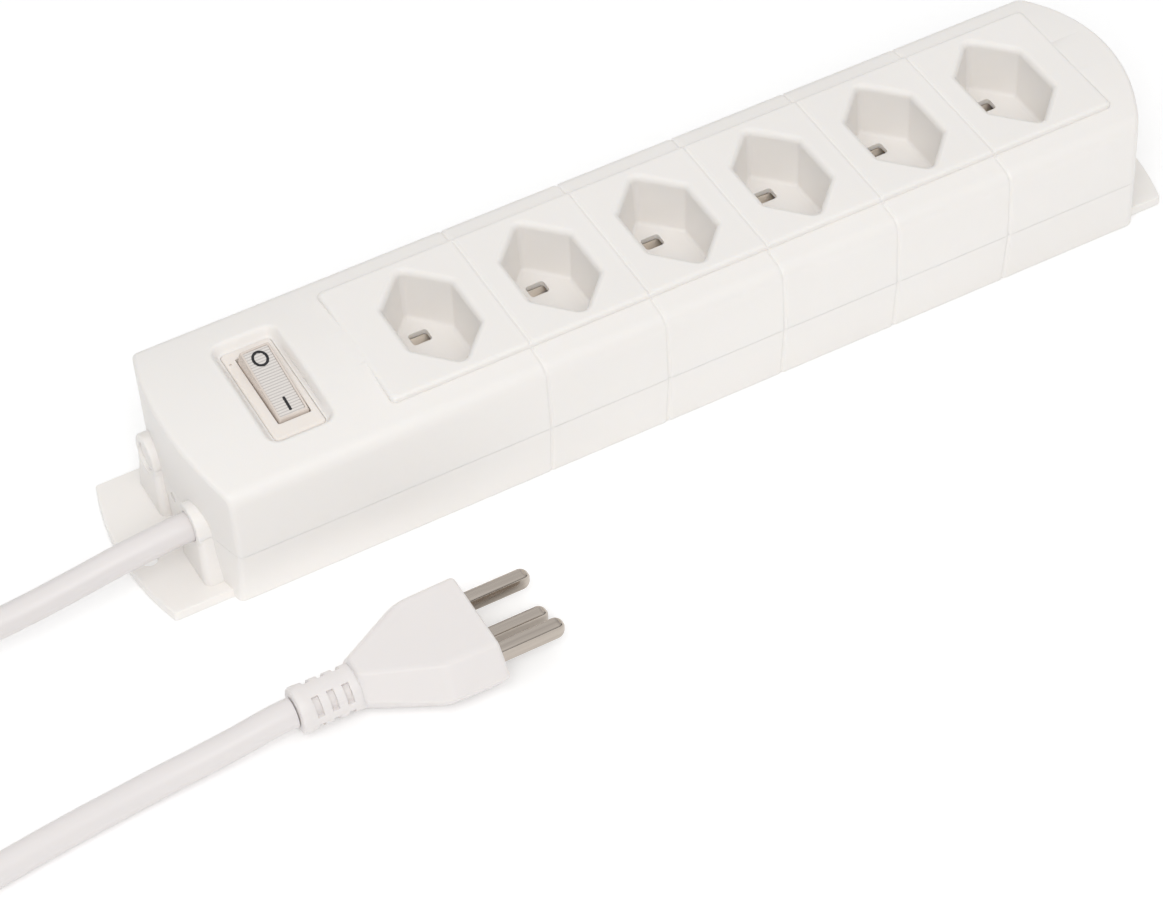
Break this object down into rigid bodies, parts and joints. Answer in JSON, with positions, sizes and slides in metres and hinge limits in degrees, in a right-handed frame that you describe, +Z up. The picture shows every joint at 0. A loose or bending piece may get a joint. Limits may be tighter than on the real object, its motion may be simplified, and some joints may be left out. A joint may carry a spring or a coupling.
{
  "type": "power strip",
  "caption": "Extension power strip with recessed hexagonal outlets, illuminated rocker switch, end mounting tabs, coiled mains cord and a flat hexagonal pin plug.",
  "frame": {"origin": "middle of the strip's underside, halfway between the outer edges of its two mounting tabs", "axes": "+Z up out of the outlets, +X along the strip from the cord end to the far end, so the cord leaves the -X end on its -Y side"},
  "size_m": [0.4874, 0.1298, 0.0426],
  "materials": {
    "shell_white": "fine satin moulding",
    "switch_cream": "smooth satin",
    "rocker_translucent": "translucent smoky plastic, glossy",
    "lens_clear": "clear ribbed plastic, glossy",
    "lamp_glass": "clear glass",
    "copper": "stamped copper alloy",
    "brass": "stamped strip",
    "zinc": "zinc plated",
    "cord_white": "smooth flexible PVC",
    "plug_white": "soft satin moulding",
    "nickel": "satin nickel plating",
    "insulation_brown": "PVC insulation",
    "insulation_blue": "PVC insulation",
    "insulation_green_yellow": "PVC insulation",
    "tie_fabric": "woven strap"
  },
  "bodies": {
    "body": {"base": "shell_white", "clamp_screw_1": "zinc", "clamp_screw_2": "zinc", "coil_tie": "tie_fabric", "cord_clamp_bar": "switch_cream", "cord_coil": "cord_white", "cord_inner_end": "cord_white", "cord_lead": "cord_white", "cord_tail": "cord_white", "cover_screw_1": "zinc", "cover_screw_2": "zinc", "cover_screw_3": "zinc", "cover_screw_4": "zinc", "earth_busbar": "nickel", "lamp_bracket": "brass", "lead_earth": "insulation_green_yellow", "lead_live": "insulation_brown", "lead_neutral": "insulation_blue", "link_live": "insulation_brown", "link_neutral": "insulation_blue", "live_busbar": "nickel", "neon_lamp": "lamp_glass", "neutral_busbar": "nickel", "plug_body": "plug_white", "plug_pin_earth": "nickel", "plug_pin_live": "nickel", "plug_pin_neutral": "nickel", "plug_strain_relief": "plug_white", "spare_outlet_blank": "shell_white", "switch_housing": "switch_cream", "switch_terminal_live_in": "brass", "switch_terminal_live_out": "brass", "switch_terminal_neutral_in": "brass", "switch_terminal_neutral_out": "brass", "top_cover": "shell_white"},
    "rocker": {"switch_rocker": "rocker_translucent", "switch_lens": "lens_clear"},
    "live_bridge": {"contact_bridge_live": "copper"},
    "neutral_bridge": {"contact_bridge_neutral": "copper"}
  },
  "joints": [
    {"name": "rocker_tilt", "type": "hinge", "parent": "body", "child": "rocker", "pos_m": [-0.1062, 0, 0.0355], "axis": [1, 0, 0], "range_deg": [-14, 0]},
    {"name": "live_bridge_tilt", "type": "hinge", "parent": "body", "child": "live_bridge", "pos_m": [-0.1084, 0, 0.0265], "axis": [1, 0, 0], "range_deg": [0, 12]},
    {"name": "neutral_bridge_tilt", "type": "hinge", "parent": "body", "child": "neutral_bridge", "pos_m": [-0.104, 0, 0.0265], "axis": [1, 0, 0], "range_deg": [0, 12]}
  ],
  "couplings": [
    {"joint": "live_bridge_tilt", "follows": "rocker_tilt", "ratio": -0.8571},
    {"joint": "neutral_bridge_tilt", "follows": "rocker_tilt", "ratio": -0.8571}
  ]
}
